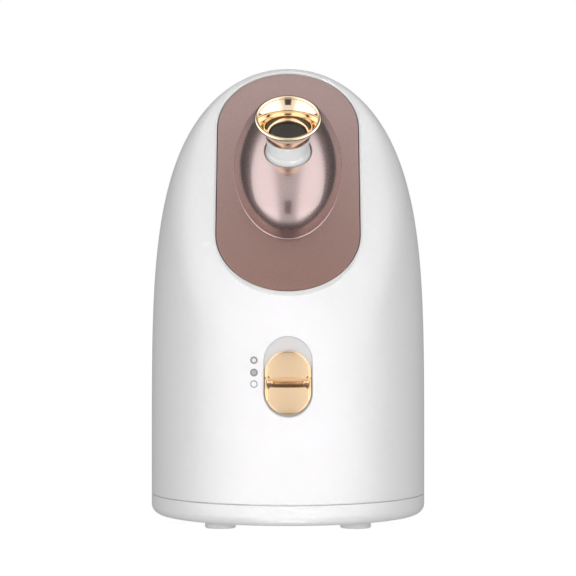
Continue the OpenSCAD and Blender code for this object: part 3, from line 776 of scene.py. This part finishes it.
# ---------------------------------------------------------------- switch
def build_switch_well():
    """The grey pocket behind the button: a floor with a slot, and a wall up to the shell's lip."""
    count = 128
    slot_w, slot_h, slot_z = 5.0, 13.4, 81.5
    slot = obround(slot_w, slot_h, count)
    wall = obround(WELL_W - 0.02, WELL_H - 0.02, count)
    floor_edge = obround(WELL_W - 0.9, WELL_H - 0.9, count)
    outer = obround(WELL_W + 1.2, WELL_H + 1.2, count)
    surface = surface_y(wall[:, 0], WELL_Z, -1)
    rings = [upright(slot, FLOOR_Y + FLOOR_THICK, slot_z), upright(slot, FLOOR_Y, slot_z),
             upright(floor_edge, FLOOR_Y, WELL_Z), upright(wall, FLOOR_Y - 0.45, WELL_Z),
             upright(wall, surface + 1.5, WELL_Z), upright(outer, np.maximum(surface, -88.6) + 3.4, WELL_Z),
             upright(outer, FLOOR_Y + FLOOR_THICK, WELL_Z)]
    points, faces = join_rings(rings, wrap=True)
    make_piece("switch_well_pocket", points, faces, "insert", "root", ["switch_well"])


def button_depth(x, v):
    """How far the button's front lies behind its highest level, at height v above its middle."""
    ridge, crest, deep, shoulder = 2.5, 1.1, 2.35, 0.9
    groove_half, groove_deep, groove_x = 0.65, 2.2, 8.6
    rail, rail_slope = 1.9, 1.0
    reach = BUTTON_H / 2
    v = np.abs(v)
    scoop = deep * (1 - np.clip((v - ridge) / (reach - ridge), 0, 1)) ** 1.15
    bevel = shoulder + (deep - shoulder) * np.clip((v - crest) / (ridge - crest), 0, 1)
    bar = shoulder * np.clip(v / crest, 0, 1) ** 2
    groove = (groove_deep * np.clip((groove_half - v) / 0.25, 0, 1)
              * np.clip((groove_x - np.abs(x)) / 0.8, 0, 1))
    wall = np.where(v < crest, bar + groove, np.where(v < ridge, bevel, scoop))
    side = np.clip((np.abs(x) - (BUTTON_W / 2 - rail)) / rail_slope, 0, 1)
    ends = np.where(v < ridge, 1.1 * side, 0.0)
    return np.maximum(wall * (1 - 0.9 * side ** 2), ends)


def build_button():
    """The button's back, rounded edge and scooped front, as rings from outside in."""
    count = 192
    back = FLOOR_Y - 0.5
    edge = 0.7
    rings = [upright(button_loop(shrink, count), back, 0.0) for shrink in (0.3, 0.0)]
    for turn in np.radians(np.linspace(0, 90, 7)):
        loop = button_loop(edge * (1 - math.cos(turn)), count)
        rings.append(button_front(loop, edge * (1 - math.sin(turn))))
    for t in np.linspace(0.02, 0.99, 90):
        rings.append(button_front(button_loop(edge, count) * (1 - t), 0.0))
    points, faces = join_rings(rings, cap_first=True, cap_last=True)
    points = points + UPRIGHT * BUTTON_Z
    make_piece("switch_button_cap", points, faces, "button", "switch", ["switch_button"],
               sharp=60)


def button_loop(shrink, count):
    return obround(BUTTON_W - 2 * shrink, BUTTON_H - 2 * shrink, count)


def button_front(loop, depth):
    """A loop on the button's front, pushed back by a depth."""
    inset = 0.7
    front = surface_y(loop[:, 0], WELL_Z, -1) + inset
    return upright(loop, front + depth + button_depth(loop[:, 0], loop[:, 1]), 0.0)


def mark_ring(name, z, r_out, r_in, spokes=0):
    """A printed ring beside the switch, with optional spokes."""
    count = 48
    top, bottom = 0.04, -0.05
    angles = np.linspace(0, 2 * math.pi, count, endpoint=False)
    rings = []
    for r, lift in ((r_in, bottom), (r_in, top), (r_out, top), (r_out, bottom)):
        x = MARK_X + r * np.cos(angles)
        height = z + r * np.sin(angles)
        rings.append(np.stack([x, surface_y(x, height, -1) - lift, height], axis=1))
    points, faces = join_rings(rings, wrap=True)
    points, faces = list(points), list(faces)
    for k in range(spokes):
        turn = math.pi * k / spokes
        along = np.array([math.cos(turn), math.sin(turn)])
        across = np.array([-along[1], along[0]]) * 0.16
        start = len(points)
        corners = [s * along * r_out * 0.98 + w * across for s, w in ((-1, -1), (1, -1), (1, 1), (-1, 1))]
        for lift in (top + 0.01, bottom):
            for c in corners:
                x, height = MARK_X + c[0], z + c[1]
                points.append(np.array([x, surface_y(x, height, -1) - lift, height]))
        faces += [(start, start + 1, start + 2, start + 3), (start + 7, start + 6, start + 5, start + 4)]
        faces += [(start + i, start + 4 + i, start + 4 + (i + 1) % 4, start + (i + 1) % 4) for i in range(4)]
    make_piece(name, np.array(points), faces, "mark", "root")


def build_marks():
    mark_ring("mode_mark_hot", 90.5, 1.95, 1.05)
    mark_ring("mode_mark_cool", 84.1, 2.05, 0.9, spokes=3)
    mark_ring("mode_mark_off", 78.1, 1.95, 1.4)


# ---------------------------------------------------------------- tank and lid
def tank_section(z, inset, count=24):
    """The tank's closed outline at a height, set in by a wall."""
    top = TOP_Z - inset
    t = np.clip((z - SEAM_Z) / (top - SEAM_Z), 0, 1)
    size = math.sqrt(max(1 - t ** DOME_POWER, 0))
    a, b = (HALF_W - inset) * size, (HALF_D - inset) * size
    y0 = TANK_Y + inset
    reach = math.sqrt(max(1 - (y0 / b) ** 2, 0)) * a if b > y0 else 0.0
    x = min(TANK_X - inset, reach)
    y_side = b * math.sqrt(max(1 - (x / a) ** 2, 0))
    across = np.linspace(x, -x, 2 * count)
    back = [(u, b * math.sqrt(max(1 - (u / a) ** 2, 0))) for u in across]
    left = [(-x, v) for v in np.linspace(y_side, y0, 10)[1:]]
    front = [(u, y0) for u in np.linspace(-x, x, 14)[1:]]
    right = [(x, v) for v in np.linspace(y0, y_side, 10)[1:-1]]
    loop = np.array(back + left + front + right)
    return np.column_stack([loop, np.full(len(loop), z)])


def build_tank():
    """The tank's walls and floor, with a hinge lug on each side of the lid's."""
    outer = [tank_section(z, 0.0) for z in np.linspace(TANK_LOW + 0.4, TANK_TOP - 0.3, 70)]
    outer.insert(0, tank_section(TANK_LOW, 0.5))
    outer.append(tank_section(TANK_TOP, 0.3))
    inner = [tank_section(z, TANK_WALL) for z in np.linspace(TANK_TOP, TANK_LOW + 2.6, 40)]
    points, faces = join_rings(outer + inner, cap_first=True, cap_last=True)
    parts = [(points, faces)]
    for side in (-1, 1):
        parts.append(hinge_knuckle(side * 7 - 1.5, 3.0, -6.0))
    points, faces = merge(parts)
    make_piece("water_tank_body", points, faces, "clear", "tank", ["water_tank"])


SKIRT_END = 50.0


def lid_skirt():
    """The skirt that dips into the tank's mouth round its front and sides."""
    rings = []
    low = TANK_TOP - 4
    for z, trim in ((low, 0.3), (low + 0.3, 0.0), (LID_LOW + 2, 0.0)):
        out, inner = TANK_WALL + 0.3 + trim, TANK_WALL + 1.6
        x, y = TANK_X - out, TANK_Y + out
        u, v = TANK_X - inner, TANK_Y + inner
        end = SKIRT_END - trim
        rings.append(np.array([(x, end, z), (x, y, z), (-x, y, z), (-x, end, z),
                               (-u, end, z), (-u, v, z), (u, v, z), (u, end, z)]))
    return join_rings(rings, cap_first=True, cap_last=True)


HINGE_Y = 71.6
HINGE_Z = TANK_TOP + 1
BARREL_R = 2.2


def barrel(start, end, count):
    """An arc of the hinge barrel's outline in (y, z), angles in degrees."""
    return arc((HINGE_Y, HINGE_Z), BARREL_R, start, end, count)


def hinge_knuckle(x, width, drop=0.0):
    """A rounded lug round the hinge axis. With a drop its root goes down, without one forward."""
    outline = barrel(0, 180, 13)
    if drop:
        outline += [(HINGE_Y - BARREL_R, HINGE_Z - 1.2), (HINGE_Y - 4.4, HINGE_Z - 1.4),
                    (HINGE_Y - 3.6, HINGE_Z + drop), (HINGE_Y + 0.4, HINGE_Z + drop + 1.5),
                    (HINGE_Y + BARREL_R, HINGE_Z - 2)]
    else:
        outline += [(HINGE_Y - 5.6, HINGE_Z + BARREL_R), (HINGE_Y - 5.6, HINGE_Z - 0.1),
                    (HINGE_Y - 1.6, HINGE_Z - 0.1)]
        outline += barrel(225, 345, 8)
    rings = [np.array([(u, y, z) for y, z in outline]) for u in (x, x + width)]
    return join_rings(rings, cap_first=True, cap_last=True)


def merge(parts):
    """Several solids as one list of points and one of faces."""
    points, faces, start = [], [], 0
    for p, f in parts:
        points.append(p)
        faces += [tuple(i + start for i in face) for face in f]
        start += len(p)
    return np.concatenate(points), faces


def build_lid():
    """The domed lid with its inside, skirt and hinge lug."""
    t_top = (1 - (TANK_Y / HALF_D) ** 2) ** (1 / DOME_POWER)
    top = SEAM_Z + t_top * (TOP_Z - SEAM_Z) - 0.01
    heights = LID_LOW + 0.3 + (top - LID_LOW - 0.3) * np.sin(np.linspace(0, math.pi / 2, 46))
    outer = [tank_section(LID_LOW, 0.3)] + [tank_section(z, 0.0) for z in heights]
    t_in = (1 - ((TANK_Y + TANK_WALL) / (HALF_D - TANK_WALL)) ** 2) ** (1 / DOME_POWER)
    top_in = SEAM_Z + t_in * (TOP_Z - TANK_WALL - SEAM_Z) - 0.01
    inner = [tank_section(z, TANK_WALL) for z in
             LID_LOW + (top_in - LID_LOW) * np.sin(np.linspace(0, math.pi / 2, 26))]
    dome = join_rings(inner[::-1] + outer, cap_first=True, cap_last=True)
    skirt = lid_skirt()
    points, faces = merge([dome, skirt, hinge_knuckle(-5.2, 10.4)])
    make_piece("tank_lid_skin", points, faces, "shell", "lid", ["tank_lid"])


# ---------------------------------------------------------------- everything inside keeps its CAD shape
NODE_LOOKS = {
    "steel": ["base_screws", "chassis_screws", "lid_hinge_pin", "valve_spring", "inlet_pins",
              "ultrasonic_disc"],
    "black": ["ball_retainer", "ball_wiper", "switch_carriage", "boiler_lid", "fan_housing", "inlet_socket",
              "thermostat"],
    "grey": ["slide_switch", "tank_cradle", "feed_tube", "steam_duct", "mist_chamber", "mist_duct",
             "fan_rotor", "chassis_plate", "valve_cap", "valve_plunger"],
    "pale_seal": ["lid_gasket"],
    "silicone": ["valve_seal", "boiler_gasket", "disc_seal"],
    "aluminium": ["boiler_body"],
    "ceramic": ["ptc_heater", "thermal_fuse"],
    "board": ["switch_board", "power_board"],
    "component": ["transformer", "capacitors"],
    "lead": ["mains_leads", "heater_leads"],
}


def paint_nodes():
    """Gives the carried-over CAD nodes their materials."""
    for look, names in NODE_LOOKS.items():
        for name in names:
            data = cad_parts[name].data
            data.materials.clear()
            data.materials.append(MATERIALS[look])


# ---------------------------------------------------------------- stage, light and camera
def softbox(name, place, target, width, height, power):
    """A flat lamp, in metres and watts, that isn't seen in gloss."""
    light = bpy.data.lights.new(name, "AREA")
    light.shape = "RECTANGLE"
    light.size, light.size_y = width, height
    light.energy = power
    lamp = bpy.data.objects.new(name, light)
    lamp.location = place
    lamp.rotation_euler = (Vector(target) - Vector(place)).to_track_quat("-Z", "Y").to_euler()
    lamp.visible_glossy = False
    bpy.context.scene.collection.objects.link(lamp)
    return lamp


FLOOR_HALF = 8.0
FLOOR_GLOW = 0.85
POLISH = 0.07
POLISH_ROUGH = 0.12


def build_stage():
    """A pale floor. It shows the object's reflection but isn't itself seen in the object's gloss."""
    mesh = bpy.data.meshes.new("floor")
    corners = [(x * FLOOR_HALF, y * FLOOR_HALF, 0) for x, y in ((-1, -1), (1, -1), (1, 1), (-1, 1))]
    mesh.from_pydata(corners, [], [(0, 1, 2, 3)])
    floor = bpy.data.objects.new("floor", mesh)
    bpy.context.scene.collection.objects.link(floor)
    material = finish_material("floor_white", (0.4, 0.4, 0.4), 0.9, grain=60, spread=0.003, strength=0.02,
                               specular=0.0)
    tree = material.node_tree
    shader = tree.nodes["Principled BSDF"]
    shader.inputs["Emission Color"].default_value = (1, 1, 1, 1)
    shader.inputs["Emission Strength"].default_value = FLOOR_GLOW
    polish = tree.nodes.new("ShaderNodeBsdfGlossy")
    polish.inputs["Roughness"].default_value = POLISH_ROUGH
    mix = tree.nodes.new("ShaderNodeMixShader")
    mix.inputs["Fac"].default_value = POLISH
    tree.links.new(shader.outputs["BSDF"], mix.inputs[1])
    tree.links.new(polish.outputs["BSDF"], mix.inputs[2])
    tree.links.new(mix.outputs["Shader"], tree.nodes["Material Output"].inputs["Surface"])
    mesh.materials.append(material)
    floor.visible_diffuse = False
    floor.visible_glossy = False
    floor.visible_shadow = False


WORLD_SEEN = 1.0
WORLD_FILL = 0.61
DARK_ROOM = 0.08
SIDE_BOX = 1.7
LOW_BOOST = 0.3
MIDDLE_GAP = 0.85
# Shares sideways where the boxes begin and are full, and where the slot is full and ends.
# Then the angles up from straight ahead, in radians: each part fades in between the first two
# and out between the last two.
BOX_EDGE = (0.27, 0.62)
SLOT_EDGE = (0.12, 0.23)
BOX_LIFT = (-0.9, -0.42, 1.7, 2.05)
GAP_LIFT = (-0.85, -0.52, 1.4, 1.8)
SLOT_LIFT = (-0.29, -0.24, 0.16, 0.22)


def math_node(tree, operation, a, b=0.0):
    """A math node's result; a and b are numbers or sockets."""
    node = tree.nodes.new("ShaderNodeMath")
    node.operation = operation
    for k, value in enumerate((a, b)):
        if isinstance(value, (int, float)):
            node.inputs[k].default_value = value
        else:
            tree.links.new(value, node.inputs[k])
    return node.outputs["Value"]


def ease(tree, value, low, high):
    """Rises smoothly from 0 at low to 1 at high."""
    node = tree.nodes.new("ShaderNodeMapRange")
    node.interpolation_type = "SMOOTHSTEP"
    node.inputs["From Min"].default_value = low
    node.inputs["From Max"].default_value = high
    tree.links.new(value, node.inputs["Value"])
    return node.outputs["Result"]


def times(tree, a, b):
    return math_node(tree, "MULTIPLY", a, b)


def window(tree, value, low, low_end, high_start, high):
    """Rises from 0 at low to 1 at low_end, and falls to 0 again between high_start and high."""
    return times(tree, ease(tree, value, low, low_end), ease(tree, value, high, high_start))


def studio_reflection(tree):
    """Two tall softboxes from low in front to overhead, a dimmer gap between them and a dark slot in it."""
    coords = tree.nodes.new("ShaderNodeTexCoord")
    split = tree.nodes.new("ShaderNodeSeparateXYZ")
    tree.links.new(coords.outputs["Generated"], split.inputs["Vector"])
    sideways = math_node(tree, "ABSOLUTE", split.outputs["X"])
    lift = math_node(tree, "ARCTAN2", split.outputs["Z"], times(tree, split.outputs["Y"], -1.0))
    box_near, box_full = BOX_EDGE
    slot_full, slot_far = SLOT_EDGE

    boost = math_node(tree, "ADD", times(tree, ease(tree, lift, 0.0, -0.6), LOW_BOOST), 1.0)
    box = times(tree, ease(tree, sideways, box_near, box_full), window(tree, lift, *BOX_LIFT))
    box = times(tree, times(tree, box, boost), SIDE_BOX)

    slot = times(tree, ease(tree, sideways, slot_far, slot_full), window(tree, lift, *SLOT_LIFT))
    gap = times(tree, ease(tree, sideways, box_full, box_near), window(tree, lift, *GAP_LIFT))
    gap = times(tree, times(tree, gap, math_node(tree, "SUBTRACT", 1.0, slot)), MIDDLE_GAP)
    return math_node(tree, "ADD", math_node(tree, "ADD", box, gap), DARK_ROOM)


def build_light():
    """White behind the object, an even fill and two lamps on it, and the studio only in its gloss."""
    world = bpy.data.worlds.new("studio")
    bpy.context.scene.world = world
    world.use_nodes = True
    tree = world.node_tree
    background = tree.nodes["Background"]
    background.inputs["Color"].default_value = (1, 1, 1, 1)
    path = tree.nodes.new("ShaderNodeLightPath")
    level = WORLD_FILL
    for ray, value in (("Is Glossy Ray", studio_reflection(tree)), ("Is Camera Ray", WORLD_SEEN)):
        mix = tree.nodes.new("ShaderNodeMix")
        for socket, source in (("Factor", path.outputs[ray]), ("A", level), ("B", value)):
            if isinstance(source, float):
                mix.inputs[socket].default_value = source
            else:
                tree.links.new(source, mix.inputs[socket])
        level = mix.outputs["Result"]
    tree.links.new(level, background.inputs["Strength"])
    softbox("front_key", (0, -2.4, 0.2), (0, 0, 0.14), 0.9, 0.9, 18)
    strip = softbox("front_strip", (0, -1.2, 0.16), (0, 0, 0.13), 0.05, 0.6, 0.03)
    strip.data.spread = math.radians(5)


LENS = 170.1
SENSOR = 36.0
CAMERA_PLACE = (0, -1.5, 0.1362)
CAMERA_AIM = (0, 0, 0.1275)


def build_camera():
    """A long lens straight in front, a little above the middle."""
    data = bpy.data.cameras.new("camera")
    data.lens = LENS
    data.sensor_width = SENSOR
    data.clip_end = 50
    camera = bpy.data.objects.new("camera", data)
    bpy.context.scene.collection.objects.link(camera)
    camera.location = CAMERA_PLACE
    aim = Vector(CAMERA_AIM) - camera.location
    camera.rotation_euler = aim.to_track_quat("-Z", "Y").to_euler()
    bpy.context.scene.camera = camera
    bpy.context.scene.view_settings.view_transform = "Standard"


build_camera()
build_light()
build_materials()
build_stage()
build_front_shell()
build_rear_shell()
build_base()
build_feet()
build_panel()
build_dome()
build_nozzle()
build_switch_well()
build_button()
build_marks()
build_tank()
build_lid()
paint_nodes()
